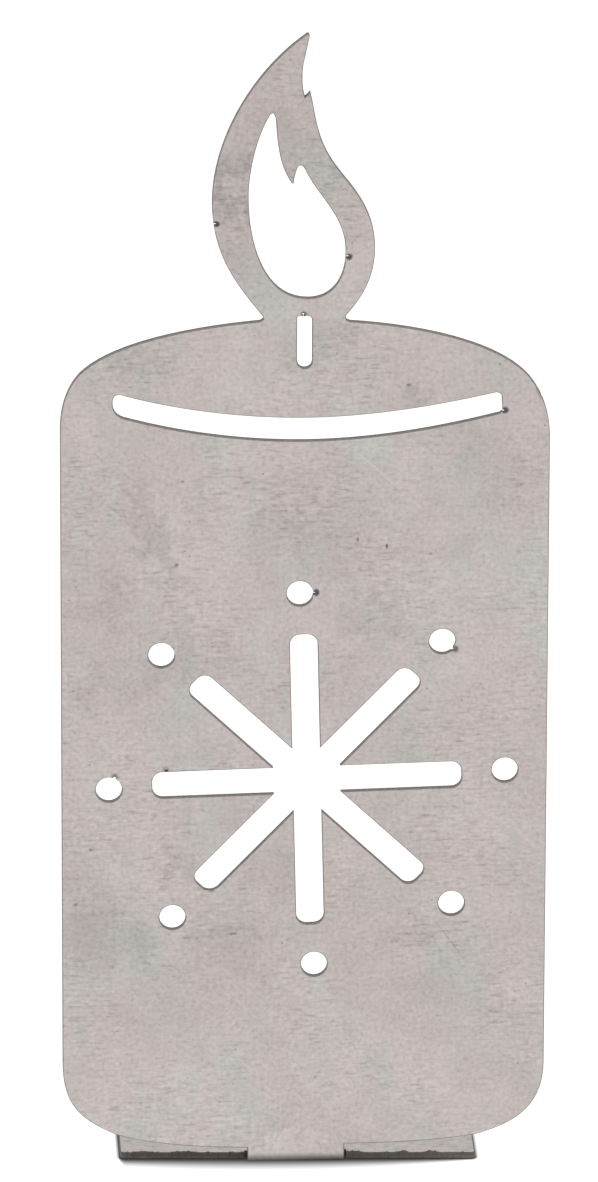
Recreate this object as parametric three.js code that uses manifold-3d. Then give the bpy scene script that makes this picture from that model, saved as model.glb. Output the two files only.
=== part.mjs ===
// Candle silhouette that stands on its own folded foot, cut and bent from one steel sheet.
// Millimetres, +Z up. The decorated face looks along -Y, the foot reaches back along +Y,
// and the origin is on the ground in the middle of the part's footprint box.
//
// The real object is a single laser-cut blank with one fold. It is modelled as the four
// regions of that blank, which meet face to face: flame, candle_body, bend_tab, foot_plate.

import * as THREE from "three";
import { mergeVertices } from "three/addons/utils/BufferGeometryUtils.js";
import Module from "manifold-3d";

const wasm = await Module();
wasm.setup();

// ---- Driving dimensions -------------------------------------------------------------------

const SHEET = 1.25; // gauge of the steel
const BEND_INNER = 1; // inside radius of the fold
const BEND_OUTER = BEND_INNER + SHEET;

const BODY_HALF_WIDTH = 44.4;
const NECK_Z = 166.2; // where the flame region meets the candle region, between slot and flame hole
const SHOULDER_Z = { left: 144, right: 141 }; // where the straight sides end at the top
const CORNER_Z = { left: 20.5, right: 19.5 }; // and at the bottom

const TAB = { left: -10.3, right: 7.6, z: { left: 3.3, right: 3.75 } }; // strip that is folded

const FOOT = {
  left: -33.7,
  right: 31.9,
  depth: 60, // from the decorated face to the rear edge
  skew: 0.04, // the front edges run out of square with the fold by this much per millimetre
  frontCorner: 0.9,
  rearCorner: 8,
};
const RELIEF = { width: 0.4, depth: 1.2 }; // saw-like slits either side of the fold

const STAR = {
  x: 0.5,
  z: 75.8,
  arms: 8,
  reach: 28.3, // centre to the tip of an arm
  width: 5.05,
  tipRadius: 1.9,
  turn: THREE.MathUtils.degToRad(1.4),
};
const DOTS = { radius: 2.4, ring: 36.25, turn: THREE.MathUtils.degToRad(2.2) };

const WICK_SLOT = { left: -1.5, right: 1.2, bottom: 155.3, top: 165.2, topCorner: 0.9 };

// Where the laser pierced the sheet beside each contour, and the size of the nick it left.
const NICK_RADIUS = 0.32;
const NICKS = [
  [-16.4, 182.8], // flame, outer left edge
  [7.5, 176.4], // flame hole, right edge
  [-0.4, 165.5], // top of the wick slot
  [35.9, 146.6], // right end of the curved slot
  [43.5, 149.7], // right shoulder
  [1.7, 112], // dots, from the top one round
  [26.9, 100.7],
  [-34.7, 76.6],
  [-25.2, 78.1], // arm of the star
  [-17.4, 54.9],
];

const FRONT_Y = -FOOT.depth / 2; // plane of the decorated face
const CURVE_STEPS = 20; // straight steps along each drawn curve
const DOT_STEPS = 16; // an arc is drawn with two lines to each step
const NICK_STEPS = 4;
const BEND_STEPS = 12;

// ---- Material -----------------------------------------------------------------------------

const steel = new THREE.MeshStandardMaterial({
  name: "bare_steel",
  color: 0xbcb6b2,
  roughness: 0.55,
  metalness: 0.8,
});

// ---- From drawings to solids ----------------------------------------------------------------

/** A closed geometry as a manifold solid. */
function toSolid(geometry) {
  const bare = geometry.clone();
  bare.deleteAttribute("normal");
  bare.deleteAttribute("uv");
  const merged = mergeVertices(bare, 1e-4);
  return new wasm.Manifold(
    new wasm.Mesh({
      numProp: 3,
      vertProperties: new Float32Array(merged.attributes.position.array),
      triVerts: new Uint32Array(merged.index.array),
    }),
  );
}

/** A manifold solid as a named mesh in bare steel. */
function toMesh(name, solid) {
  const { vertProperties, triVerts } = solid.getMesh();
  const geometry = new THREE.BufferGeometry();
  geometry.setAttribute("position", new THREE.BufferAttribute(vertProperties, 3));
  geometry.setIndex(new THREE.BufferAttribute(triVerts, 1));
  geometry.computeVertexNormals();
  const mesh = new THREE.Mesh(geometry, steel);
  mesh.name = name;
  return mesh;
}

/** Sheet standing upright: the drawing's x and y become X and Z, the gauge runs along +Y. */
function uprightSheet(shape, steps = CURVE_STEPS) {
  const geometry = new THREE.ExtrudeGeometry(shape, {
    depth: SHEET,
    bevelEnabled: false,
    curveSegments: steps,
  });
  geometry.rotateX(Math.PI / 2);
  geometry.translate(0, FRONT_Y + SHEET, 0);
  return toSolid(geometry);
}

/** A cutter that goes through the upright sheet with room to spare on both faces. */
function uprightCutter(shape, steps) {
  const geometry = new THREE.ExtrudeGeometry(shape, {
    depth: 3 * SHEET,
    bevelEnabled: false,
    curveSegments: steps,
  });
  geometry.rotateX(Math.PI / 2);
  geometry.translate(0, FRONT_Y + 2 * SHEET, 0);
  return toSolid(geometry);
}

/** Half space above or below the neck, as a box. */
function neckBox(lowZ, highZ) {
  const geometry = new THREE.BoxGeometry(4 * BODY_HALF_WIDTH, 8 * SHEET, highZ - lowZ);
  geometry.translate(0, FRONT_Y, (lowZ + highZ) / 2);
  return toSolid(geometry);
}

/** A circle drawn as a shape. */
function disc(x, y, radius) {
  return new THREE.Shape().absarc(x, y, radius, 0, 2 * Math.PI, false);
}

// ---- The upright sheet ----------------------------------------------------------------------

/** Outer edge of candle and flame, counter-clockwise from the left end of the fold. */
function silhouette() {
  const half = BODY_HALF_WIDTH;
  const s = new THREE.Shape();
  s.moveTo(TAB.left, BEND_OUTER);
  s.lineTo(TAB.right, BEND_OUTER);
  s.lineTo(TAB.right, TAB.z.right);
  // bottom edge and lower right corner
  s.bezierCurveTo(17, 3.75, 27.5, 4.3, 32.5, 5.4);
  s.bezierCurveTo(37.2, 7, half, 9.2, half, CORNER_Z.right);
  // right side and shoulder
  s.lineTo(half, SHOULDER_Z.right);
  s.bezierCurveTo(half, 145, 43.7, 148.6, 41.3, 152.2);
  s.bezierCurveTo(36.8, 159, 23, 162.9, 8, 164.1);
  s.lineTo(7.4, 164.4);
  // flame, up its right side
  s.lineTo(7.3, 165.2);
  s.bezierCurveTo(10.9, 169.3, 12.5, 173.3, 12.5, 178);
  s.bezierCurveTo(12.5, 182.3, 11.2, 185.8, 8, 190.1);
  s.bezierCurveTo(3.6, 195.7, 2.5, 197.6, 1.2, 205.5);
  s.lineTo(0.75, 207.6); // barb
  s.lineTo(-0.2, 206.6);
  s.bezierCurveTo(-0.7, 208, -0.95, 211.6, -0.2, 214);
  s.lineTo(0.6, 217.9);
  s.quadraticCurveTo(0.65, 218.5, 0.1, 218.4); // tip
  // and down its left side
  s.bezierCurveTo(-10.8, 210.5, -16.9, 197.2, -16.9, 187);
  s.bezierCurveTo(-16.9, 178.1, -13.6, 172.5, -7.75, 165.3);
  s.lineTo(-7.65, 164.7);
  s.lineTo(-8.2, 164.3);
  // left shoulder and side
  s.bezierCurveTo(-20, 163.3, -34.8, 160.6, -40.7, 154.8);
  s.bezierCurveTo(-43, 152.4, -half, 148.6, -half, SHOULDER_Z.left);
  s.lineTo(-half, CORNER_Z.left);
  // lower left corner and bottom edge
  s.bezierCurveTo(-half, 11.8, -40.5, 9.2, -35.5, 6.7);
  s.bezierCurveTo(-31.5, 4.7, -20, 3.3, TAB.left, TAB.z.left);
  s.closePath();
  return s;
}

/** Opening in the flame: a smaller flame with two tongues. */
function flameOpening() {
  const s = new THREE.Shape();
  s.moveTo(0.5, 168.6);
  s.bezierCurveTo(5.5, 168.6, 7.2, 173.3, 7.2, 177);
  s.bezierCurveTo(7.2, 183.9, 3, 186.8, 0.2, 192.2);
  s.bezierCurveTo(-0.6, 194.2, -1.4, 194.2, -1.8, 192.4); // right tongue
  s.quadraticCurveTo(-2.1, 191.6, -2.2, 190.3);
  s.quadraticCurveTo(-2.6, 190.3, -3, 191.1); // point between the tongues
  s.bezierCurveTo(-4.9, 194.4, -5.1, 198, -5.4, 202);
  s.bezierCurveTo(-5.6, 204, -6.2, 203.9, -6.7, 202.8); // left tongue
  s.bezierCurveTo(-8.7, 199.4, -10.3, 192.9, -10.3, 188);
  s.bezierCurveTo(-10.3, 180.3, -8.1, 168.6, 0.5, 168.6);
  return s;
}

/** Slot under the flame, for the wick. */
function wickSlot() {
  const { left, right, bottom, top, topCorner } = WICK_SLOT;
  const radius = (right - left) / 2;
  const s = new THREE.Shape();
  s.absarc((left + right) / 2, bottom + radius, radius, Math.PI, 2 * Math.PI, false);
  s.lineTo(right, top - topCorner);
  s.quadraticCurveTo(right, top, right - topCorner, top);
  s.lineTo(left + topCorner / 2, top);
  s.quadraticCurveTo(left, top, left, top - topCorner / 2);
  s.closePath();
  return s;
}

/** Curved slot below the shoulders, the near rim of the candle's top. */
function rimSlot() {
  const s = new THREE.Shape();
  s.moveTo(0, 141.4);
  s.bezierCurveTo(12, 141.4, 24, 143.4, 35.1, 146.2);
  s.quadraticCurveTo(35.7, 146.3, 35.7, 147); // right end
  s.lineTo(35.6, 149.2);
  s.quadraticCurveTo(35.5, 150.3, 34.4, 150.15);
  s.bezierCurveTo(23.5, 147.7, 12, 145.8, 0, 145.8);
  s.bezierCurveTo(-12, 145.8, -24.3, 147.8, -33.5, 150.6);
  s.quadraticCurveTo(-34.85, 150.7, -34.85, 149.1); // left end
  s.bezierCurveTo(-34.85, 147.6, -34.3, 146.6, -32.7, 146.1);
  s.bezierCurveTo(-23.5, 143.4, -12, 141.4, 0, 141.4);
  return s;
}

/** One arm of the star, from the centre out along +X, as a cutter turned into place. */
function starArm(index) {
  const { reach, width, tipRadius, turn, arms } = STAR;
  const half = width / 2;
  const s = new THREE.Shape();
  s.moveTo(0, -half);
  s.lineTo(reach - tipRadius, -half);
  s.absarc(reach - tipRadius, -half + tipRadius, tipRadius, -Math.PI / 2, 0, false);
  s.absarc(reach - tipRadius, half - tipRadius, tipRadius, 0, Math.PI / 2, false);
  s.lineTo(0, half);
  s.closePath();
  const cutter = uprightCutter(s, NICK_STEPS);
  const angle = turn + (index * 2 * Math.PI) / arms;
  return cutter.rotate(0, -THREE.MathUtils.radToDeg(angle), 0).translate(STAR.x, 0, STAR.z);
}

/** All that the laser cut away inside the silhouette. */
function cutaways() {
  const cutters = [flameOpening(), wickSlot(), rimSlot()].map((s) => uprightCutter(s, CURVE_STEPS));
  for (let i = 0; i < STAR.arms; i++) {
    const angle = DOTS.turn + (i * 2 * Math.PI) / STAR.arms;
    const x = STAR.x + DOTS.ring * Math.cos(angle);
    const z = STAR.z + DOTS.ring * Math.sin(angle);
    cutters.push(starArm(i), uprightCutter(disc(x, z, DOTS.radius), DOT_STEPS));
  }
  for (const [x, z] of NICKS) cutters.push(uprightCutter(disc(x, z, NICK_RADIUS), NICK_STEPS));
  return wasm.Manifold.union(cutters);
}

/** Candle and flame as two solids that meet at the neck. */
function uprightSheets() {
  const sheet = uprightSheet(silhouette()).subtract(cutaways());
  return {
    flame: sheet.intersect(neckBox(NECK_Z, 2 * NECK_Z)),
    body: sheet.intersect(neckBox(-NECK_Z, NECK_Z)),
  };
}

// ---- The fold and the foot ------------------------------------------------------------------

/** The folded strip: a quarter of a ring, from the candle's lower edge to the foot's front. */
function bendTab() {
  const s = new THREE.Shape();
  s.absarc(0, 0, BEND_OUTER, Math.PI, 1.5 * Math.PI, false);
  s.absarc(0, 0, BEND_INNER, 1.5 * Math.PI, Math.PI, true);
  s.closePath();
  const geometry = new THREE.ExtrudeGeometry(s, {
    depth: TAB.right - TAB.left,
    bevelEnabled: false,
    curveSegments: BEND_STEPS,
  });
  // The drawing's x becomes Y, its y becomes Z, and the extrusion runs along X.
  const axes = new THREE.Matrix4().set(0, 0, 1, 0, 1, 0, 0, 0, 0, 1, 0, 0, 0, 0, 0, 1);
  geometry.applyMatrix4(axes);
  geometry.translate(TAB.left, FRONT_Y + BEND_OUTER, BEND_OUTER);
  return toSolid(geometry);
}

/** The foot, flat on the ground, with an ear either side of the fold. */
function footPlate() {
  const { left, right, depth, skew, frontCorner, rearCorner } = FOOT;
  const middle = (TAB.left + TAB.right) / 2;
  const ear = (x) => BEND_OUTER - skew * (x - middle); // front edge of the ears at x
  const root = BEND_OUTER + RELIEF.depth; // closed end of the relief slits
  const slitLeft = TAB.left - RELIEF.width;
  const slitRight = TAB.right + RELIEF.width;
  const s = new THREE.Shape();
  s.moveTo(TAB.left, BEND_OUTER);
  s.lineTo(TAB.right, BEND_OUTER);
  s.lineTo(TAB.right, root);
  s.lineTo(slitRight, root);
  s.lineTo(slitRight, ear(slitRight));
  s.lineTo(right - frontCorner, ear(right - frontCorner));
  s.quadraticCurveTo(right, ear(right), right, ear(right) + frontCorner);
  s.lineTo(right, depth - rearCorner);
  s.absarc(right - rearCorner, depth - rearCorner, rearCorner, 0, Math.PI / 2, false);
  s.absarc(left + rearCorner, depth - rearCorner, rearCorner, Math.PI / 2, Math.PI, false);
  s.lineTo(left, ear(left) + frontCorner);
  s.quadraticCurveTo(left, ear(left), left + frontCorner, ear(left + frontCorner));
  s.lineTo(slitLeft, ear(slitLeft));
  s.lineTo(slitLeft, root);
  s.lineTo(TAB.left, root);
  s.closePath();
  const geometry = new THREE.ExtrudeGeometry(s, {
    depth: SHEET,
    bevelEnabled: false,
    curveSegments: BEND_STEPS,
  });
  geometry.translate(0, FRONT_Y, 0);
  return toSolid(geometry);
}

// ---- The part -------------------------------------------------------------------------------

const { flame, body } = uprightSheets();

const part = new THREE.Group();
part.add(toMesh("flame", flame));
part.add(toMesh("candle_body", body));
part.add(toMesh("bend_tab", bendTab()));
part.add(toMesh("foot_plate", footPlate()));

export default part;
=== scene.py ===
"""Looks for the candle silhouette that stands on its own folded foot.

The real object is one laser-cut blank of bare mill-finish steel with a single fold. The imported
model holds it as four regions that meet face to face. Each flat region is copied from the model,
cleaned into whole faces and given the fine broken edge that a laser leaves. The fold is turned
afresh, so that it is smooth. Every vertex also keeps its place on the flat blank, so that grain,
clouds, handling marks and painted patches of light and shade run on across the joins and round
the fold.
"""

import logging
import math
from abc import ABC, abstractmethod
from collections.abc import Sequence
from dataclasses import dataclass
from enum import IntEnum

import bmesh
import bpy
from bmesh.types import BMEdge, BMesh, BMFace
from bpy.types import Material, NodeSocket, Object
from mathutils import Matrix, Vector, noise


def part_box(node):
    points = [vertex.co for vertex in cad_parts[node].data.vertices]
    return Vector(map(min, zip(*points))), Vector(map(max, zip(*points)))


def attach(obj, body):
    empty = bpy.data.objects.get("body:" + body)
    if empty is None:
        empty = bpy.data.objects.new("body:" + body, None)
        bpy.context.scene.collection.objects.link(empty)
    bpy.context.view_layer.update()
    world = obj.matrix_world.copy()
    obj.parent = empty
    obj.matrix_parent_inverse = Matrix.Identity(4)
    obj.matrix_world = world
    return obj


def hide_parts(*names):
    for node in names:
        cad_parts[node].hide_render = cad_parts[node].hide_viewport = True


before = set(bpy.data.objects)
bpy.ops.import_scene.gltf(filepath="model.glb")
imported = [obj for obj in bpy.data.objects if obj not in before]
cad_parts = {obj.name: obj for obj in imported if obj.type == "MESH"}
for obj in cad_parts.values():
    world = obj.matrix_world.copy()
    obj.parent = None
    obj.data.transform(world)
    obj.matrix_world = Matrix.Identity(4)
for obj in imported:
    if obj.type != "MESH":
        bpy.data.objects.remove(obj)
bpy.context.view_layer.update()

log = logging.getLogger("candle_silhouette")

MM = 0.001
BLANK = "blank_mm"  # vertex attribute: across, along and through the flat blank, in millimetres
ONE_BODY = "root"


class Skin(IntEnum):
    """Which finish a face of the sheet shows. The value is its material slot."""

    MILL = 0
    CUT = 1


# ---- Node trees -----------------------------------------------------------------------------


class Recipe:
    """Writes the node tree of one Principled material, in short calls."""

    def __init__(self, name: str) -> None:
        """Starts an empty material.

        Args:
            name: What the material is called.
        """
        self.material = bpy.data.materials.new(name)
        self.material.use_nodes = True
        self.tree = self.material.node_tree
        self.tree.nodes.clear()
        self.shader = self.tree.nodes.new("ShaderNodeBsdfPrincipled")
        output = self.tree.nodes.new("ShaderNodeOutputMaterial")
        self.tree.links.new(self.shader.outputs[0], output.inputs["Surface"])

    def _fill(self, socket: NodeSocket, value: object) -> None:
        """Links a socket to another, or sets its plain value.

        Args:
            socket: The socket to feed.
            value: The socket to feed it from, or its plain value.
        """
        if isinstance(value, NodeSocket):
            self.tree.links.new(value, socket)
        else:
            socket.default_value = value

    def attribute(self, name: str) -> NodeSocket:
        """Reads a vector from the vertices.

        Args:
            name: Name of the vertex attribute.

        Returns:
            The vector.
        """
        node = self.tree.nodes.new("ShaderNodeAttribute")
        node.attribute_name = name
        return node.outputs["Vector"]

    def object_place(self) -> NodeSocket:
        """The place in the object's own coordinates, in metres."""
        return self.tree.nodes.new("ShaderNodeTexCoord").outputs["Object"]

    def axis(self, place: NodeSocket, letter: str) -> NodeSocket:
        """Takes one coordinate of a place.

        Args:
            place: The place.
            letter: X, Y or Z.

        Returns:
            The coordinate.
        """
        node = self.tree.nodes.new("ShaderNodeSeparateXYZ")
        self._fill(node.inputs[0], place)
        return node.outputs[letter]

    def math(self, operation: str, *values: object) -> NodeSocket:
        """One sum on numbers.

        Args:
            operation: What the Math node does.
            values: Up to three numbers or sockets.

        Returns:
            The result.
        """
        node = self.tree.nodes.new("ShaderNodeMath")
        node.operation = operation
        for socket, value in zip(node.inputs, values, strict=False):
            self._fill(socket, value)
        return node.outputs[0]

    def vector(self, operation: str, *values: object) -> NodeSocket:
        """One sum on vectors.

        Args:
            operation: What the Vector Math node does.
            values: Up to three vectors or sockets.

        Returns:
            The result, which is a number for LENGTH and a vector otherwise.
        """
        node = self.tree.nodes.new("ShaderNodeVectorMath")
        node.operation = operation
        for socket, value in zip(node.inputs, values, strict=False):
            self._fill(socket, value)
        return node.outputs["Value" if operation == "LENGTH" else "Vector"]

    def stretch(self, place: NodeSocket, factors: Sequence[float]) -> NodeSocket:
        """A place with each axis scaled, so that a pattern on it gets finer along that axis."""
        return self.vector("MULTIPLY", place, factors)

    def shaded(self, colour: NodeSocket, shade: NodeSocket) -> NodeSocket:
        """A colour made darker or lighter by a shade."""
        return self.vector("MULTIPLY", colour, shade)

    def noise(
        self, place: NodeSocket, per_mm: float, detail: float = 2.0, rough: float = 0.5
    ) -> NodeSocket:
        """Soft noise around 0.5.

        Args:
            place: Where it is read, in millimetres.
            per_mm: How many lumps there are to a millimetre.
            detail: How many finer layers lie on the first.
            rough: How strong those layers are.

        Returns:
            The noise value.
        """
        node = self.tree.nodes.new("ShaderNodeTexNoise")
        self._fill(node.inputs["Vector"], place)
        node.inputs["Scale"].default_value = per_mm
        node.inputs["Detail"].default_value = detail
        node.inputs["Roughness"].default_value = rough
        return node.outputs[0]

    def cells(self, place: NodeSocket, per_mm: float) -> tuple[NodeSocket, NodeSocket]:
        """Scattered points.

        Args:
            place: Where they are read, in millimetres.
            per_mm: How many cells there are to a millimetre.

        Returns:
            The distance to the nearest point, in cells, and that cell's own random colour.
        """
        node = self.tree.nodes.new("ShaderNodeTexVoronoi")
        self._fill(node.inputs["Vector"], place)
        node.inputs["Scale"].default_value = per_mm
        return node.outputs["Distance"], node.outputs["Color"]

    def swing(self, value: NodeSocket, amount: float) -> NodeSocket:
        """Noise turned to swing either side of zero by half this much."""
        return self.math("MULTIPLY_ADD", value, amount, -amount / 2)

    def total(self, values: Sequence[NodeSocket]) -> NodeSocket:
        """Adds numbers up.

        Args:
            values: At least one number.

        Returns:
            Their sum.
        """
        result = values[0]
        for value in values[1:]:
            result = self.math("ADD", result, value)
        return result

    def ramp(
        self, value: NodeSocket, start: float, end: float, low: float = 0.0, high: float = 1.0
    ) -> NodeSocket:
        """A smooth step.

        Args:
            value: The number that the step runs along.
            start: Where the step starts.
            end: Where it ends.
            low: The result up to the start.
            high: The result from the end on.

        Returns:
            The result.
        """
        node = self.tree.nodes.new("ShaderNodeMapRange")
        node.interpolation_type = "SMOOTHSTEP"
        self._fill(node.inputs["Value"], value)
        node.inputs["From Min"].default_value = start
        node.inputs["From Max"].default_value = end
        node.inputs["To Min"].default_value = low
        node.inputs["To Max"].default_value = high
        return node.outputs["Result"]

    def mix(self, share: NodeSocket, first: Sequence[float], second: Sequence[float]) -> NodeSocket:
        """Mixes two colours.

        Args:
            share: How much of the second there is.
            first: The first colour.
            second: The second colour.

        Returns:
            The mixed colour.
        """
        node = self.tree.nodes.new("ShaderNodeMix")
        node.data_type = "RGBA"
        opaque = 1
        factor, colour_a, colour_b = node.inputs[0], node.inputs[6], node.inputs[7]
        self._fill(factor, share)
        colour_a.default_value = (*first, opaque)
        colour_b.default_value = (*second, opaque)
        return node.outputs[2]

    def strayed(self, place: NodeSocket, per_mm: float, reach: float) -> NodeSocket:
        """A place pushed about by noise, which makes the outline of a mark ragged.

        Args:
            place: The place, in millimetres.
            per_mm: How many lumps of noise there are to a millimetre.
            reach: How far the noise may push it, from end to end.

        Returns:
            The new place.
        """
        lumps = self.noise(place, per_mm, detail=4, rough=0.6).node.outputs["Color"]
        back = -reach / 2
        push = self.vector("MULTIPLY_ADD", lumps, (reach, reach, 0), (back, back, 0))
        return self.vector("ADD", place, push)

    def local(self, place: NodeSocket, mark: "Mark") -> NodeSocket:
        """How far a place is from a mark's middle.

        Args:
            place: The place on the blank, in millimetres.
            mark: The mark.

        Returns:
            The distance, which is 1 at the mark's rim.
        """
        mapping = self.tree.nodes.new("ShaderNodeMapping")
        mapping.vector_type = "TEXTURE"
        self._fill(mapping.inputs["Vector"], place)
        mapping.inputs["Location"].default_value = (*mark.at, 0)
        mapping.inputs["Rotation"].default_value = (0, 0, math.radians(mark.tilt))
        mapping.inputs["Scale"].default_value = (*mark.half_size, mark.REACH_THROUGH)
        return self.vector("LENGTH", mapping.outputs[0])

    def outside(
        self, place: NodeSocket, middle: Sequence[float], half: Sequence[float], corner: NodeSocket
    ) -> NodeSocket:
        """How far a place is outside a box with rounded corners.

        Args:
            place: The place.
            middle: The middle of the box.
            half: Half the size of the box along each axis.
            corner: Radius of its corners.

        Returns:
            The distance, which is zero inside the box.
        """
        from_middle = self.vector("ABSOLUTE", self.vector("SUBTRACT", place, middle))
        core = self.vector("SUBTRACT", half, corner)
        beyond = self.vector("MAXIMUM", self.vector("SUBTRACT", from_middle, core), (0, 0, 0))
        distance = self.math("SUBTRACT", self.vector("LENGTH", beyond), corner)
        return self.math("MAXIMUM", distance, 0)

    def bump(self, height: NodeSocket, depth: float) -> NodeSocket:
        """Gives the surface a fine relief.

        Args:
            height: Height of the relief, from 0 to 1.
            depth: How deep it is, in metres.

        Returns:
            The normal.
        """
        node = self.tree.nodes.new("ShaderNodeBump")
        node.inputs["Strength"].default_value = 1
        node.inputs["Distance"].default_value = depth
        self._fill(node.inputs["Height"], height)
        return node.outputs["Normal"]

    def finish(self, **sockets: object) -> Material:
        """Feeds the shader.

        Args:
            sockets: What each socket gets, its name written with _ for each space.

        Returns:
            The finished material.
        """
        for name, value in sockets.items():
            self._fill(self.shader.inputs[name.replace("_", " ")], value)
        return self.material


# ---- Finishes -------------------------------------------------------------------------------


@dataclass(frozen=True)
class Mark:
    """A smear, scratch, pit or rubbed place on the blank, in millimetres; some are painted light and
    shade.

    Attributes:
        at: Its middle, across and along the blank.
        half_size: Half its length and half its width.
        depth: The share of light it takes away, or gives back where it is negative.
        tilt: How far its length is turned from the grain, in degrees.
        edge: Where it starts to fade, as a share of the way to its rim.
    """

    at: tuple[float, float]
    half_size: tuple[float, float]
    depth: float
    tilt: float = 0
    edge: float = 0

    REACH_THROUGH = 1000.0  # it goes on through the gauge, and the side mask stops it


SMEARS_AND_PAINTED_LIGHT_FRONT = (
    Mark(at=(-36.5, 44.5), half_size=(10, 8), depth=0.075, edge=0.6),
    Mark(at=(-41, 54.5), half_size=(5, 4), depth=0.065, edge=0.5),
    Mark(at=(-14, 43.5), half_size=(10.5, 6), depth=0.05, edge=0.7),
    Mark(at=(-13, 45.8), half_size=(6, 2.4), depth=0.06, tilt=8, edge=0.3),
    Mark(at=(-6, 58), half_size=(13, 7), depth=0.048, edge=0.5),
    Mark(at=(-21, 59), half_size=(8, 4), depth=0.06, edge=0.5),
    Mark(at=(22.5, 46), half_size=(8, 4.5), depth=0.06, edge=0.3),
    Mark(at=(-28, 124), half_size=(11, 4.4), depth=0.1, tilt=-60, edge=0.6),
    Mark(at=(-37, 111), half_size=(8, 5), depth=0.054, edge=0.5),
    Mark(at=(-34, 95), half_size=(13, 4.5), depth=0.054, edge=0.4),
    Mark(at=(-23, 99), half_size=(7, 6), depth=0.036, edge=0.4),
    Mark(at=(2, 160), half_size=(9, 6.5), depth=0.06, edge=0.4),
    Mark(at=(-31, 156), half_size=(6.5, 3.5), depth=0.055, edge=0.5),
    Mark(at=(19.5, 149.5), half_size=(4.5, 2.4), depth=0.1, edge=0.4),
    Mark(at=(3, 127), half_size=(12, 14), depth=0.03, edge=0.65),
    Mark(at=(19, 124), half_size=(15, 8), depth=0.035, tilt=-18, edge=0.6),
    Mark(at=(11, 108), half_size=(9, 6), depth=0.048, edge=0.5),
    Mark(at=(34, 137), half_size=(9, 6), depth=0.03, edge=0.5),
    Mark(at=(-13.8, 190.5), half_size=(2.8, 10), depth=0.12, tilt=8, edge=0.5),
    Mark(at=(-22.5, 81.5), half_size=(3, 1.6), depth=0.06, edge=0.3),
    Mark(at=(38, 79), half_size=(8, 16), depth=0.018, edge=0.4),
    Mark(at=(-12.6, 131), half_size=(5.5, 14), depth=-0.03, edge=0.6),
    Mark(at=(16, 139.5), half_size=(8, 4), depth=-0.03, tilt=-30, edge=0.6),
    Mark(at=(32, 109), half_size=(17, 12), depth=-0.033, edge=0.7),
    Mark(at=(-18, 116), half_size=(7, 9), depth=-0.027, edge=0.6),
    # painted shade: darkens the top of the sheet, the flame most
    Mark(at=(0, 203), half_size=(70, 44), depth=0.07),
    # painted light: brightens the lower part of the sheet
    Mark(at=(0, 8), half_size=(80, 30), depth=-0.04, edge=0.3),
    # painted highlight on the top of the fold and on the sheet just above it
    Mark(at=(-1.4, 3.2), half_size=(9.5, 2.6), depth=-0.08, edge=0.4),
)

SCRATCHES_FRONT = (
    Mark(at=(13.2, 135.6), half_size=(8.4, 0.16), depth=-0.1, tilt=-44, edge=0.4),
    Mark(at=(27.5, 43), half_size=(7.3, 0.2), depth=0.14, tilt=-55, edge=0.4),
    Mark(at=(-12.5, 104), half_size=(7, 0.14), depth=-0.06, tilt=-82, edge=0.4),
    Mark(at=(-30, 72), half_size=(6, 0.13), depth=-0.07, tilt=14, edge=0.4),
    Mark(at=(34, 27), half_size=(5, 0.13), depth=0.1, tilt=28, edge=0.4),
    Mark(at=(-22, 25), half_size=(8, 0.12), depth=-0.05, tilt=-9, edge=0.4),
    Mark(at=(33, 134), half_size=(6, 0.13), depth=-0.06, tilt=38, edge=0.4),
)

PITS_FRONT = (
    Mark(at=(-22.2, 133.9), half_size=(0.45, 0.3), depth=0.35, edge=0.3),
    Mark(at=(-23.3, 117.9), half_size=(0.6, 0.5), depth=0.5, tilt=40, edge=0.3),
    Mark(at=(14.9, 121), half_size=(0.35, 0.7), depth=0.6, edge=0.3),
    Mark(at=(9.6, 122.3), half_size=(0.3, 0.6), depth=0.5, edge=0.3),
    Mark(at=(18.7, 151.9), half_size=(0.8, 0.35), depth=0.35, edge=0.2),
    Mark(at=(-13.1, 45.8), half_size=(1.1, 0.35), depth=0.35, edge=0.2),
    Mark(at=(-39.1, 62.7), half_size=(0.5, 0.4), depth=0.35, edge=0.2),
    Mark(at=(-41.9, 52), half_size=(0.7, 0.5), depth=0.35, edge=0.2),
    Mark(at=(22.9, 119.4), half_size=(0.5, 0.35), depth=0.3, edge=0.2),
    Mark(at=(39.6, 19.3), half_size=(0.4, 0.4), depth=0.35, edge=0.2),
)

# Where the laser pierced the sheet: the soot beside each nick.
SOOT = (
    Mark(at=(-16.2, 182.9), half_size=(1.1, 0.8), depth=0.75, edge=0.35),
    Mark(at=(7.8, 176.4), half_size=(0.9, 0.9), depth=0.75, edge=0.35),
    Mark(at=(-0.35, 165.7), half_size=(0.8, 0.6), depth=0.7, edge=0.3),
    Mark(at=(36.2, 146.8), half_size=(0.9, 0.9), depth=0.75, edge=0.35),
    Mark(at=(2.1, 112.2), half_size=(0.8, 1), depth=0.75, edge=0.35),
    Mark(at=(-24.3, 101.8), half_size=(0.7, 0.8), depth=0.35),
    Mark(at=(27.5, 100.9), half_size=(0.9, 1), depth=0.6, edge=0.2),
    Mark(at=(-34.7, 77), half_size=(0.9, 0.8), depth=0.6, edge=0.2),
    Mark(at=(-25.3, 78.3), half_size=(0.9, 0.8), depth=0.45),
    Mark(at=(-17, 54.6), half_size=(0.9, 0.8), depth=0.5, edge=0.1),
    Mark(at=(42.6, 150), half_size=(2.6, 0.7), depth=0.55, tilt=-62),
)


class Finish(ABC):
    """A surface of the sheet."""

    @abstractmethod
    def build(self) -> Material:
        """Makes the material.

        Returns:
            The material.
        """


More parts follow.
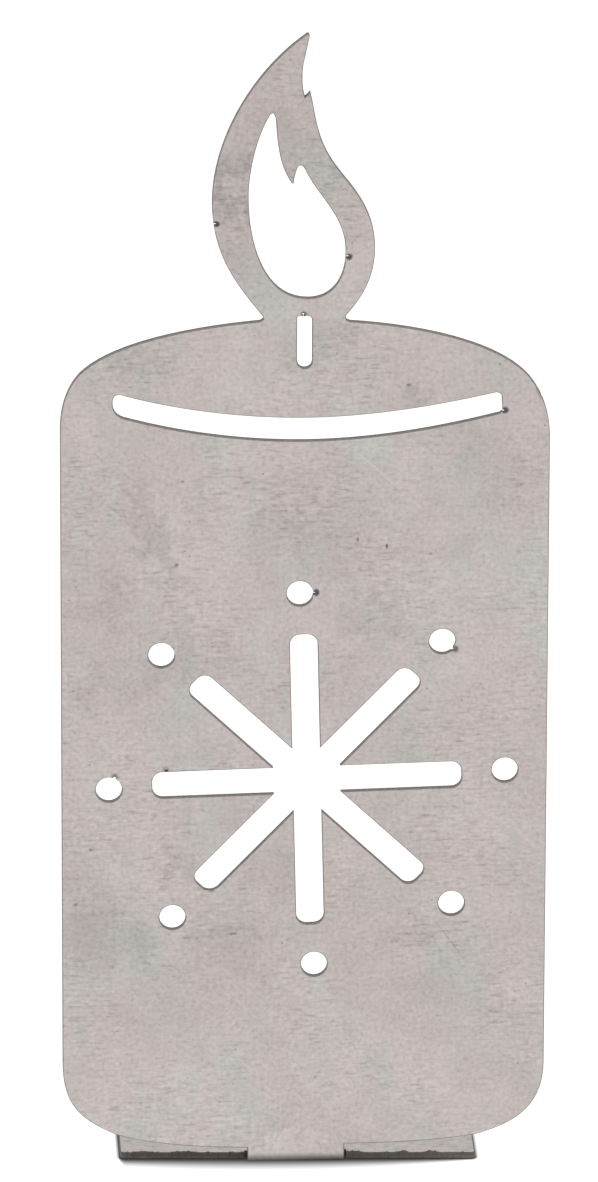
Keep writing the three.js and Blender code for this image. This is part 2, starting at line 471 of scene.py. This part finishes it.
@dataclass(frozen=True)
class MillSteel(Finish):
    """Bare cold-rolled steel as it left the mill: matt, grained across, clouded, handled and painted
    with some light and shade.

    Attributes:
        warm: Colour of the pinkish grey that covers most of it.
        cool: Colour of the greenish grey patches.
        metal: How far it mirrors as a metal does.
        rough: Middle roughness.
        clouds: Swing of the broad light and dark clouds.
        blotches: Swing of the patches a few millimetres wide.
        streaks: Swing of the rolling streaks.
        dashes: How dark the short lines between the streaks are.
        grain: Swing of the finest grain.
        flecks: How dark the flecks in the grain are.
        specks: How dark the few small specks are.
        relief: Depth of the grain, in metres.
    """

    warm: tuple[float, float, float] = (0.488, 0.437, 0.427)
    cool: tuple[float, float, float] = (0.464, 0.449, 0.421)
    metal: float = 0.9
    rough: float = 0.5
    clouds: float = 0.23
    blotches: float = 0.15
    streaks: float = 0.24
    dashes: float = 0.11
    grain: float = 0.31
    flecks: float = 0.1
    specks: float = 0.42
    relief: float = 0.006 * MM

    SIDES_APART = 40.0  # stretches the gauge, so that the two sides of the sheet differ
    FRONT_ENDS = 0.3  # millimetres into the gauge at which marks of the front are over
    POLISH = -0.35  # how much smoother a darker place is
    LONG_SHARE = 0.25  # of the streaks' swing, for the long ones along the grain
    UPRIGHT_SHARE = 0.28  # of the streaks' swing, for the ones across the grain

    def build(self) -> Material:
        """Makes the material.

        Returns:
            The steel of the broad faces.
        """
        recipe = Recipe("mill_steel")
        place = recipe.attribute(BLANK)
        own_side = recipe.stretch(place, (1, 1, self.SIDES_APART))
        streaks = self._streaks(recipe, own_side)
        grain = recipe.noise(own_side, per_mm=1.25, detail=1, rough=0.5)
        lumps = recipe.noise(own_side, per_mm=1.15, detail=1)
        shade = recipe.total([
            recipe.swing(recipe.noise(own_side, per_mm=0.045, detail=2), self.clouds),
            recipe.swing(recipe.noise(own_side, per_mm=0.19, detail=2), self.blotches),
            streaks,
            recipe.swing(grain, self.grain),
            recipe.ramp(lumps, start=0.56, end=0.74, low=0, high=-self.flecks),
            self._marks(recipe, place),
            recipe.math("MULTIPLY", self._specks(recipe, own_side), -1),
        ])
        stretched = recipe.stretch(own_side, (1.5, 0.8, 1))
        patches = recipe.noise(stretched, per_mm=0.05, detail=6, rough=0.6)
        tint = recipe.mix(recipe.ramp(patches, start=0.48, end=0.64), self.warm, self.cool)
        return recipe.finish(
            Base_Color=recipe.shaded(tint, recipe.math("ADD", shade, 1)),
            Metallic=self.metal,
            Roughness=recipe.math("MULTIPLY_ADD", shade, self.POLISH, self.rough),
            Normal=recipe.bump(recipe.math("ADD", streaks, grain), self.relief),
        )

    def _streaks(self, recipe: Recipe, place: NodeSocket) -> NodeSocket:
        """Rolling streaks: short ones in patches, and long faint ones everywhere.

        Args:
            recipe: The material.
            place: The place on the blank, in millimetres.

        Returns:
            The shade that they add.
        """
        short = recipe.noise(recipe.stretch(place, (0.45, 1.6, 1)), per_mm=1, detail=1.2)
        lines = recipe.noise(recipe.stretch(place, (0.3, 1.8, 1.3)), per_mm=1, detail=1)
        dashes = recipe.ramp(lines, start=0.57, end=0.72, low=0, high=-self.dashes)
        long = recipe.noise(recipe.stretch(place, (0.03, 1.15, 1)), per_mm=1, detail=1)
        upright = recipe.noise(recipe.stretch(place, (2.0, 0.15, 1)), per_mm=1, detail=1)
        regions = recipe.noise(place, per_mm=0.05, detail=1)
        where = recipe.ramp(regions, start=0.4, end=0.62, low=0.3, high=1.5)
        in_patches = recipe.total([recipe.swing(short, self.streaks), dashes])
        return recipe.total([
            recipe.math("MULTIPLY", in_patches, where),
            recipe.swing(long, self.streaks * self.LONG_SHARE),
            recipe.swing(upright, self.streaks * self.UPRIGHT_SHARE),
        ])

    def _marks(self, recipe: Recipe, place: NodeSocket) -> NodeSocket:
        """Darkens and rubs the decorated side, and paints some light and shade on it.

        Args:
            recipe: The material.
            place: The place on the blank, in millimetres.

        Returns:
            The shade that the marks add, which is none on the back.
        """
        crumbs = recipe.noise(place, per_mm=0.9, detail=3, rough=0.7)
        broken = recipe.ramp(crumbs, start=0.3, end=0.7, low=0.55, high=1.45)
        ragged = recipe.strayed(place, per_mm=0.16, reach=20)
        # smears and rubbed places, with the painted light and shade among them
        smears_and_painted_light = recipe.math("MULTIPLY", self._sum_of(recipe, ragged, SMEARS_AND_PAINTED_LIGHT_FRONT), broken)
        small = self._sum_of(recipe, place, (*SCRATCHES_FRONT, *PITS_FRONT, *SOOT))
        front = recipe.ramp(recipe.axis(place, "Z"), start=0, end=self.FRONT_ENDS, low=-1, high=0)
        return recipe.math("MULTIPLY", recipe.math("ADD", smears_and_painted_light, small), front)

    def _sum_of(self, recipe: Recipe, place: NodeSocket, marks: Sequence[Mark]) -> NodeSocket:
        """Adds up marks.

        Args:
            recipe: The material.
            place: The place on the blank, in millimetres.
            marks: The marks.

        Returns:
            The share of light that they take away.
        """
        return recipe.total([
            recipe.ramp(recipe.local(place, mark), start=mark.edge, end=1, low=mark.depth, high=0)
            for mark in marks
        ])

    def _specks(self, recipe: Recipe, place: NodeSocket) -> NodeSocket:
        """Small dark specks, one in every few cells.

        Args:
            recipe: The material.
            place: The place on the blank, in millimetres.

        Returns:
            The share of light that they take away.
        """
        distance, colour = recipe.cells(place, per_mm=0.34)
        chosen = recipe.ramp(colour, start=0.6, end=0.75, low=0, high=self.specks)
        dots = recipe.ramp(distance, start=0.035, end=0.085, low=1, high=0)
        return recipe.math("MULTIPLY", dots, chosen)


@dataclass(frozen=True)
class LaserCut(Finish):
    """The cut edge of the sheet: dark heat oxide with fine striations through the gauge.

    Attributes:
        gauge: Thickness of the sheet, in millimetres.
        bright: Colour of the smooth band next to the decorated side.
        dark: Colour of the oxide below it.
        metal: How far it mirrors as a metal does.
        rough: Roughness of its smoothest places.
        lines: Swing of the striations.
        crust: Swing of the oxide's crust.
        relief: Depth of the striations, in metres.
    """

    gauge: float
    bright: tuple[float, float, float] = (0.21, 0.186, 0.17)
    dark: tuple[float, float, float] = (0.1, 0.089, 0.081)
    metal: float = 0.6
    rough: float = 0.4
    lines: float = 0.9
    crust: float = 1.0
    relief: float = 0.03 * MM

    BAND = (0.35, 0.85)  # shares of the gauge between which the smooth band gives way to oxide
    CRUST_ROUGHNESS = 0.3

    def build(self) -> Material:
        """Makes the material.

        Returns:
            The steel of the cut walls and of their broken edges.
        """
        recipe = Recipe("laser_cut_edge")
        place = recipe.attribute(BLANK)
        lines = recipe.noise(recipe.stretch(place, (1, 1, 0.12)), per_mm=3.2, detail=2, rough=0.6)
        crust = recipe.noise(recipe.stretch(place, (1, 1, 2)), per_mm=0.7, detail=4, rough=0.65)
        wavering = recipe.math("MULTIPLY_ADD", crust, 0.5, recipe.axis(place, "Z"))
        oxide = recipe.ramp(wavering, *(share * self.gauge for share in self.BAND))
        shade = recipe.total([recipe.swing(lines, self.lines), recipe.swing(crust, self.crust)])
        colour = recipe.mix(oxide, self.bright, self.dark)
        return recipe.finish(
            Base_Color=recipe.shaded(colour, recipe.math("ADD", shade, 1)),
            Metallic=self.metal,
            Roughness=recipe.math("MULTIPLY_ADD", crust, self.CRUST_ROUGHNESS, self.rough),
            Normal=recipe.bump(recipe.math("ADD", lines, crust), self.relief),
        )


# ---- The sheet ------------------------------------------------------------------------------


@dataclass(frozen=True)
class Sheet:
    """Gauge, fold and joins of the blank, in metres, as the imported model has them.

    Attributes:
        gauge: Thickness of the steel.
        front: Y of the decorated face.
        fold_outer: Outside radius of the fold, which is also where the fold ends above the floor.
        neck: Z of the join between the flame and the candle.
    """

    gauge: float
    front: float
    fold_outer: float
    neck: float

    FACING = 0.9  # least part of a join's normal that points along its axis

    @classmethod
    def from_model(cls) -> "Sheet":
        """Reads the sheet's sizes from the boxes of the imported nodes.

        Returns:
            The sheet.
        """
        foot_low, foot_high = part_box("foot_plate")
        fold_low, fold_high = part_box("bend_tab")
        flame_low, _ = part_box("flame")
        return cls(
            gauge=foot_high.z - foot_low.z,
            front=fold_low.y,
            fold_outer=fold_high.z - fold_low.z,
            neck=flame_low.z,
        )

    @property
    def fold_axis(self) -> Vector:
        """A point on the line that the sheet is folded round."""
        return Vector((0, self.front + self.fold_outer, self.fold_outer))

    @property
    def fold_length(self) -> float:
        """How much of the flat blank the fold takes up, half way through the gauge."""
        return (self.fold_outer - self.gauge / 2) * math.pi / 2

    def on_join(self, face: BMFace) -> bool:
        """Whether a face is one where two regions of the sheet meet.

        Args:
            face: The face.

        Returns:
            Whether it lies in the neck, or at either end of the fold.
        """
        joins = ((2, self.neck), (2, self.fold_axis.z), (1, self.fold_axis.y))
        close = self.gauge / 100
        return any(
            abs(face.normal[axis]) > self.FACING
            and all(abs(vertex.co[axis] - at) < close for vertex in face.verts)
            for axis, at in joins
        )


@dataclass
class SheetRegion(ABC):
    """One region of the sheet, built and dressed.

    Attributes:
        sheet: The sheet it belongs to.
        node: Name of the CAD node that it stands for.
        finishes: Its materials, in the order of Skin.
        broken_edge: How far the laser's edge is rounded, in metres.
        edge_steps: Strips of faces round each broken edge.
    """

    sheet: Sheet
    node: str
    finishes: tuple[Material, Material]
    broken_edge: float = 0.16 * MM
    edge_steps: int = 3

    SHARP = math.radians(40)  # from here on an edge is shaded sharp
    SQUARE = math.radians(60)  # from here on an edge is rounded
    NICK_REACH = 1.0  # millimetres from the soot's middle to the furthest edge of its nick

    @abstractmethod
    def shape(self) -> BMesh:
        """Makes the region's solid, with square edges.

        Returns:
            The solid.
        """

    @abstractmethod
    def is_broad(self, face: BMFace) -> bool:
        """Whether a face is part of the sheet's front or back, and not of its cut edge."""

    @abstractmethod
    def on_blank(self, point: Vector) -> Vector:
        """Where a point lay across, along and through the flat blank, in metres."""

    def build(self) -> Object:
        """Builds the region and puts it in place of its CAD node.

        Returns:
            The finished piece.
        """
        solid = self.shape()
        self._break_edges(solid)
        self._shade(solid)
        layer = solid.verts.layers.float_vector.new(BLANK)
        for vertex in solid.verts:
            vertex[layer] = self.on_blank(vertex.co) / MM
        name = f"{self.node}_steel"
        mesh = bpy.data.meshes.new(name)
        solid.to_mesh(mesh)
        solid.free()
        for finish in self.finishes:
            mesh.materials.append(finish)
        piece = bpy.data.objects.new(name, mesh)
        bpy.context.scene.collection.objects.link(piece)
        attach(piece, ONE_BODY)
        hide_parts(self.node)
        log.info("%s: %d faces", name, len(mesh.polygons))
        return piece

    def _break_edges(self, solid: BMesh) -> None:
        """Rounds every edge between a broad face and a cut wall, and gives each face its finish.

        Args:
            solid: The region's solid.
        """
        for face in solid.faces:
            face.material_index = Skin.MILL if self.is_broad(face) else Skin.CUT
        edges = [
            edge
            for edge in solid.edges
            if len({face.material_index for face in edge.link_faces}) > 1
            and edge.calc_face_angle(0) > self.SQUARE
            and not any(self.sheet.on_join(face) for face in edge.link_faces)
            and not self._by_pierce(edge)
        ]
        rounded = bmesh.ops.bevel(
            solid,
            geom=edges,
            offset=self.broken_edge,
            offset_type="OFFSET",
            segments=self.edge_steps,
            profile=0.5,
            affect="EDGES",
            clamp_overlap=False,
            material=-1,
        )
        for face in rounded["faces"]:
            face.material_index = Skin.CUT

    def _by_pierce(self, edge: BMEdge) -> bool:
        """Whether an edge is part of a nick where the laser pierced, which stays square."""
        middle = self.on_blank((edge.verts[0].co + edge.verts[1].co) / 2) / MM
        return any(math.dist(middle.xy, nick.at) < self.NICK_REACH for nick in SOOT)

    def _shade(self, solid: BMesh) -> None:
        """Shades the curves smooth, and keeps broad faces flat up to their rims.

        Args:
            solid: The region's solid.
        """
        solid.normal_update()
        for face in solid.faces:
            face.smooth = True
        for edge in solid.edges:
            same = len({self.is_broad(face) for face in edge.link_faces}) == 1
            edge.smooth = same and edge.calc_face_angle(math.pi) < self.SHARP


@dataclass
class FlatRegion(SheetRegion):
    """A flat region, copied from its CAD node."""

    WELD = 0.02 * MM  # vertices closer than this are one
    FLAT = math.radians(0.3)  # up to here neighbouring triangles are one face
    STRAIGHT = 0.999  # least part of a broad face's normal that points straight out

    def shape(self) -> BMesh:
        """Merges the CAD node's loose triangles into whole faces.

        Returns:
            The solid.
        """
        solid = bmesh.new()
        solid.from_mesh(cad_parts[self.node].data)
        bmesh.ops.remove_doubles(solid, verts=solid.verts[:], dist=self.WELD)
        bmesh.ops.dissolve_limit(
            solid, angle_limit=self.FLAT, verts=solid.verts[:], edges=solid.edges[:]
        )
        return solid


@dataclass
class UprightRegion(FlatRegion):
    """A region of the standing sheet, which faces along Y."""

    def is_broad(self, face: BMFace) -> bool:
        """Whether a face looks straight forwards or back."""
        return abs(face.normal.y) > self.STRAIGHT

    def on_blank(self, point: Vector) -> Vector:
        """The standing sheet is the blank stood on end."""
        return Vector((point.x, point.z, point.y - self.sheet.front))


@dataclass
class FootRegion(FlatRegion):
    """The foot, which lies on the ground behind the fold.

    Attributes:
        dross_step: Spacing of the vertices along the ears' front edges, in metres.
        dross_height: Height of the lumps that the laser left there, in metres.
        dross_depth: How far back they slope, in metres.
    """

    dross_step: float = 0.3 * MM
    dross_height: float = 0.3 * MM
    dross_depth: float = 0.5 * MM

    # Middle and half length of each lump along the edge, in millimetres.
    LUMPS = ((-29.5, 2), (-22, 2.4), (9.5, 1.6), (18.5, 1), (23.7, 1.2))
    EAR_LENGTH = 4  # least length of an ear's front edge, in fold radii
    EVEN = 0.8  # height of a lump where it has no crumbs
    UNEVEN = 0.6  # how far crumbs raise or lower it
    CRUMB = 0.3  # height of the crumbs between the lumps
    CRUMBS_PER_MM = 1.4

    def shape(self) -> BMesh:
        """Makes the foot's solid, with a lumpy upper edge along the front of its two ears.

        Returns:
            The solid.
        """
        solid = super().shape()
        ears = [
            edge
            for edge in solid.edges
            if all(vertex.co.y < self.sheet.fold_axis.y / 2 for vertex in edge.verts)
            and all(vertex.co.z > self.sheet.gauge / 2 for vertex in edge.verts)
            and abs(edge.verts[0].co.x - edge.verts[1].co.x) > self.sheet.fold_outer * self.EAR_LENGTH
        ]
        ends = [vertex.co.copy() for edge in ears for vertex in edge.verts]
        ends.sort(key=lambda end: end.x)
        for start, end in zip(ends[::2], ends[1::2], strict=True):
            self._roughen(solid, start, end)
        return solid

    def _roughen(self, solid: BMesh, start: Vector, end: Vector) -> None:
        """Raises lumps along one straight edge, on a narrow strip that is cut off for them.

        Args:
            solid: The foot.
            start: The left end of the edge.
            end: Its right end.
        """
        along = (end - start).normalized()
        inward = Vector((0, 0, 1)).cross(along)
        length = (end - start).length
        first = start + along * self.dross_step

        def behind_edge(depth: float) -> list[BMFace]:
            """Finds the faces behind the edge.

            Args:
                depth: How far back the middle of a face may lie, in metres.

            Returns:
                The faces.
            """
            middles = {face: face.calc_center_median() for face in solid.faces}
            return [
                face
                for face, middle in middles.items()
                if 0 < (middle - first).dot(along) < length and (middle - start).dot(inward) < depth
            ]

        self._cut(solid, first, along, solid.faces)
        self._cut(solid, end, along, solid.faces)
        self._cut(solid, start + inward * self.dross_depth, inward, behind_edge(math.inf))
        for step in range(2, round(length / self.dross_step)):
            at = start + along * (step * self.dross_step)
            self._cut(solid, at, along, behind_edge(self.dross_depth))
        for vertex in solid.verts:
            offset = vertex.co - start
            on_edge = abs(offset.dot(inward)) < self.WELD and vertex.co.z > self.sheet.gauge / 2
            if on_edge and 0 < offset.dot(along) < length - self.WELD:
                lump = self._lump(vertex.co.x / MM)
                vertex.co += Vector((0, lump / 2, lump)) * self.dross_height

    def _cut(self, solid: BMesh, at: Vector, across: Vector, faces: Sequence[BMFace]) -> None:
        """Splits faces along a plane.

        Args:
            solid: The solid that they are part of.
            at: A point on the plane.
            across: Its normal.
            faces: The faces.
        """
        whole = list(faces)
        edges = {edge for face in whole for edge in face.edges}
        corners = {vertex for face in whole for vertex in face.verts}
        bmesh.ops.bisect_plane(
            solid, geom=[*corners, *edges, *whole], dist=MM / 1000, plane_co=at, plane_no=across
        )

    def _lump(self, across: float) -> float:
        """How high the dross stands.

        Args:
            across: The place along the edge, in millimetres.

        Returns:
            The height, as a share of the height of a whole lump.
        """
        swell = max(0.0, *(1 - ((across - at) / half) ** 2 for at, half in self.LUMPS))
        crumbs = noise.noise(Vector((across * self.CRUMBS_PER_MM, 0, 0)))
        return swell * (self.EVEN + self.UNEVEN * crumbs) + self.CRUMB * max(0.0, crumbs)

    def is_broad(self, face: BMFace) -> bool:
        """Whether a face looks straight up or down."""
        return abs(face.normal.z) > self.STRAIGHT

    def on_blank(self, point: Vector) -> Vector:
        """The foot lies a fold's length below the standing sheet on the blank.

        Args:
            point: A point of the foot.

        Returns:
            Its place on the blank, in metres.
        """
        behind_fold = point.y - self.sheet.fold_axis.y
        along = self.sheet.fold_axis.z - self.sheet.fold_length - behind_fold
        return Vector((point.x, along, point.z))


@dataclass
class FoldRegion(SheetRegion):
    """The narrow strip that is folded through a right angle.

    Attributes:
        steps: Faces round the fold.
    """

    steps: int = 48

    SIDEWAYS = 0.1  # most part of a broad face's normal that points to the side

    def shape(self) -> BMesh:
        """Sweeps the strip's section round the fold's axis.

        Returns:
            The solid.
        """
        low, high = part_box(self.node)
        sheet = self.sheet
        section = Matrix.LocRotScale(
            Vector(((low.x + high.x) / 2, sheet.front + sheet.gauge / 2, sheet.fold_axis.z)),
            None,
            Vector((high.x - low.x, sheet.gauge, 1)),
        )
        solid = bmesh.new()
        bmesh.ops.create_grid(solid, x_segments=1, y_segments=1, size=0.5, matrix=section)
        bmesh.ops.spin(
            solid,
            geom=solid.verts[:] + solid.edges[:] + solid.faces[:],
            cent=sheet.fold_axis,
            axis=(1, 0, 0),
            angle=math.pi / 2,
            steps=self.steps,
        )
        bmesh.ops.recalc_face_normals(solid, faces=solid.faces[:])
        return solid

    def is_broad(self, face: BMFace) -> bool:
        """Whether a face is part of the fold's outside or inside."""
        return abs(face.normal.x) < self.SIDEWAYS and not self.sheet.on_join(face)

    def on_blank(self, point: Vector) -> Vector:
        """Unrolls the fold.

        Args:
            point: A point of the folded strip.

        Returns:
            Its place on the blank, in metres.
        """
        axis = self.sheet.fold_axis
        radius = math.hypot(point.y - axis.y, point.z - axis.z)
        turned = math.atan2(axis.z - point.z, axis.y - point.y)
        along = axis.z - self.sheet.fold_length * turned / (math.pi / 2)
        return Vector((point.x, along, self.sheet.fold_outer - radius))


# ---- Studio ---------------------------------------------------------------------------------


@dataclass
class Floor:
    """A plain white floor with a painted contact shadow close to the foot.

    Attributes:
        half_size: Half its side, in metres.
        drop: How far it lies below the foot, so that the two don't share a plane.
        glow: Light of its own, which keeps wide shadows from greying it.
        reach: How far the painted shadow comes out from the foot, below the fold, in millimetres.
        least_reach: How far it comes out at the foot's ends.
        shade_middle: Where along the foot it comes out furthest, in millimetres.
        narrowing: How fast it draws in from there, for each square millimetre.
        least_light: Share of the glow that the painted shadow leaves right beside the foot.
        white: Colour of the paint in the open.
        shaded: Colour of the painted shadow right beside the foot.
        skew: How far the foot's front edge comes forward for each millimetre to the right.
        corners: Radius of the foot's front and rear corners, in millimetres.
    """

    half_size: float = 3
    drop: float = 0.02 * MM
    glow: float = 1.0
    reach: float = 6.8
    least_reach: float = 0.9
    shade_middle: float = -9
    narrowing: float = 0.0037
    least_light: float = 0.03
    white: tuple[float, float, float] = (0.15, 0.15, 0.15)
    shaded: tuple[float, float, float] = (0.03, 0.027, 0.028)
    skew: float = 0.04
    corners: tuple[float, float] = (0.9, 8)

    TALL = 1000  # half height of the shade's box, which is cut by the floor and never ends there

    def build(self) -> Object:
        """Lays the floor.

        Returns:
            The floor, which isn't part of the object.
        """
        solid = bmesh.new()
        bmesh.ops.create_grid(
            solid,
            x_segments=1,
            y_segments=1,
            size=self.half_size,
            matrix=Matrix.Translation((0, 0, -self.drop)),
        )
        mesh = bpy.data.meshes.new("floor")
        solid.to_mesh(mesh)
        solid.free()
        mesh.materials.append(self._paint())
        floor = bpy.data.objects.new("floor", mesh)
        bpy.context.scene.collection.objects.link(floor)
        return floor

    def _paint(self) -> Material:
        """Makes white paint with some light of its own and a painted shadow close to the foot.

        Returns:
            The paint.
        """
        recipe = Recipe("white_floor")
        # painted contact shadow: less glow and darker paint close to the foot
        light_left_by_painted_shadow = self._light_left_by_painted_shadow(recipe)
        return recipe.finish(
            Base_Color=recipe.mix(light_left_by_painted_shadow, self.shaded, self.white),
            Roughness=0.9,
            Specular_IOR_Level=0.0,
            Emission_Color=(1, 1, 1, 1),
            Emission_Strength=recipe.math("MULTIPLY", light_left_by_painted_shadow, self.glow),
        )

    def _light_left_by_painted_shadow(self, recipe: Recipe) -> NodeSocket:
        """Paints the contact shadow: how much light the floor keeps, worked out from the foot's
        outline.

        Args:
            recipe: The material.

        Returns:
            1 in the open, and the least light right beside the foot.
        """
        low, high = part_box("foot_plate")
        low, high = low / MM, high / MM
        place = recipe.stretch(recipe.object_place(), (1 / MM, 1 / MM, 0))
        across, back = recipe.axis(place, "X"), recipe.axis(place, "Y")
        skew = recipe.ramp(back, low.y / 2, high.y / 2, self.skew, 0)
        slant = recipe.math("MULTIPLY", across, skew)
        squared_up = recipe.vector("MULTIPLY_ADD", slant, (0, 1, 0), place)
        front = low.y + self.skew * high.x
        end = (high.x - low.x) / 2
        away = recipe.outside(
            squared_up,
            ((low.x + high.x) / 2, (front + high.y) / 2, 0),
            (end, (high.y - front) / 2, self.TALL),
            recipe.ramp(back, low.y / 2, high.y / 2, *self.corners),
        )
        from_fold = recipe.math("SUBTRACT", across, self.shade_middle)
        drawn_in = recipe.math(
            "MULTIPLY_ADD", recipe.math("MULTIPLY", from_fold, from_fold), -self.narrowing, self.reach
        )
        behind = recipe.axis(squared_up, "Y")
        in_front = recipe.ramp(behind, front, front + self.least_reach * 2, 1, 0)
        aside = recipe.math("ABSOLUTE", recipe.math("SUBTRACT", across, (low.x + high.x) / 2))
        in_line = recipe.ramp(aside, end - self.least_reach, end + self.least_reach, 1, 0)
        forward = recipe.math("MULTIPLY", drawn_in, recipe.math("MULTIPLY", in_front, in_line))
        reach = recipe.math("MAXIMUM", forward, self.least_reach)
        return recipe.ramp(recipe.math("DIVIDE", away, reach), 0, 1, self.least_light, 1)


@dataclass(frozen=True)
class Lamp:
    """A square soft box.

    Attributes:
        name: What it is called.
        place: Where it stands, in metres.
        side: Length of its side, in metres.
        power: Its power, in watts.
    """

    name: str
    place: tuple[float, float, float]
    side: float
    power: float

    def build(self, target: Vector) -> Object:
        """Hangs the lamp.

        Args:
            target: The point that it shines at.

        Returns:
            The lamp.
        """
        light = bpy.data.lights.new(self.name, "AREA")
        light.shape = "SQUARE"
        light.size = self.side
        light.energy = self.power
        lamp = bpy.data.objects.new(self.name, light)
        lamp.location = self.place
        lamp.rotation_euler = (target - lamp.location).to_track_quat("-Z", "Y").to_euler()
        bpy.context.scene.collection.objects.link(lamp)
        return lamp


@dataclass
class Camera:
    """A long lens, slightly to the left of the object and well above it.

    Attributes:
        azimuth: Degrees round from straight in front.
        elevation: Degrees above the horizon.
        distance: From the target, in metres.
        height: Height of the target on the decorated face, in metres.
        lens: Focal length, in millimetres.
        shift: Sideways and upward shift of the picture, as shares of its height.
        roll: Degrees that the object leans to the right in the picture.
    """

    azimuth: float = -2.84
    elevation: float = 19.92
    distance: float = 2.2
    height: float = 0.1108
    lens: float = 368.5
    shift: tuple[float, float] = (-0.0049, 0.0076)
    roll: float = 0.17

    SENSOR = 36  # width of the film, in millimetres
    CLIP = (0.1, 20)  # nearest and furthest that it sees, in metres

    def build(self, sheet: Sheet) -> Object:
        """Places the camera.

        Args:
            sheet: Tells where the decorated face is.

        Returns:
            The camera.
        """
        data = bpy.data.cameras.new("camera")
        data.sensor_width = self.SENSOR
        data.lens = self.lens
        data.shift_x, data.shift_y = self.shift
        data.clip_start, data.clip_end = self.CLIP
        camera = bpy.data.objects.new("camera", data)
        turn, rise = math.radians(self.azimuth), math.radians(self.elevation)
        back = Vector(
            (math.sin(turn) * math.cos(rise), -math.cos(turn) * math.cos(rise), math.sin(rise))
        )
        place = Vector((0, sheet.front, self.height)) + back * self.distance
        look = (-back).to_track_quat("-Z", "Y").to_matrix().to_4x4()
        roll = Matrix.Rotation(math.radians(self.roll), 4, "Z")
        camera.matrix_world = Matrix.Translation(place) @ look @ roll
        bpy.context.scene.collection.objects.link(camera)
        bpy.context.scene.camera = camera
        return camera


@dataclass
class Studio:
    """White room, lamps, floor and camera.

    Attributes:
        sky: Strength of the room's own light.
        lamps: The lamps.
    """

    sky: float = 1.0
    lamps: tuple[Lamp, ...] = (
        Lamp(name="key", place=(-1.2, -1.6, 1.5), side=1.0, power=3),
        Lamp(name="fill", place=(1.5, -1.4, 1.0), side=1.2, power=4),
        Lamp(name="top", place=(0.1, 0.7, 1.9), side=1.2, power=3),
    )

    def build(self, sheet: Sheet) -> None:
        """Sets up everything round the object.

        Args:
            sheet: Tells where the decorated face is.
        """
        scene = bpy.context.scene
        scene.view_settings.view_transform = "Standard"
        world = bpy.data.worlds.new("white_room")
        world.use_nodes = True
        background = world.node_tree.nodes["Background"]
        background.inputs["Color"].default_value = (1, 1, 1, 1)
        background.inputs["Strength"].default_value = self.sky
        scene.world = world
        target = Vector((0, sheet.front, sheet.neck / 2))
        for lamp in self.lamps:
            lamp.build(target)
        Floor().build()
        Camera().build(sheet)


def main() -> None:
    """Builds the four regions of the sheet and the studio."""
    logging.basicConfig(level=logging.INFO, format="%(name)s: %(message)s")
    sheet = Sheet.from_model()
    finishes = (MillSteel().build(), LaserCut(gauge=sheet.gauge / MM).build())
    for region in (
        UprightRegion(sheet, "flame", finishes),
        UprightRegion(sheet, "candle_body", finishes),
        FoldRegion(sheet, "bend_tab", finishes),
        FootRegion(sheet, "foot_plate", finishes),
    ):
        region.build()
    Studio().build(sheet)


if __name__ == "__main__":
    main()
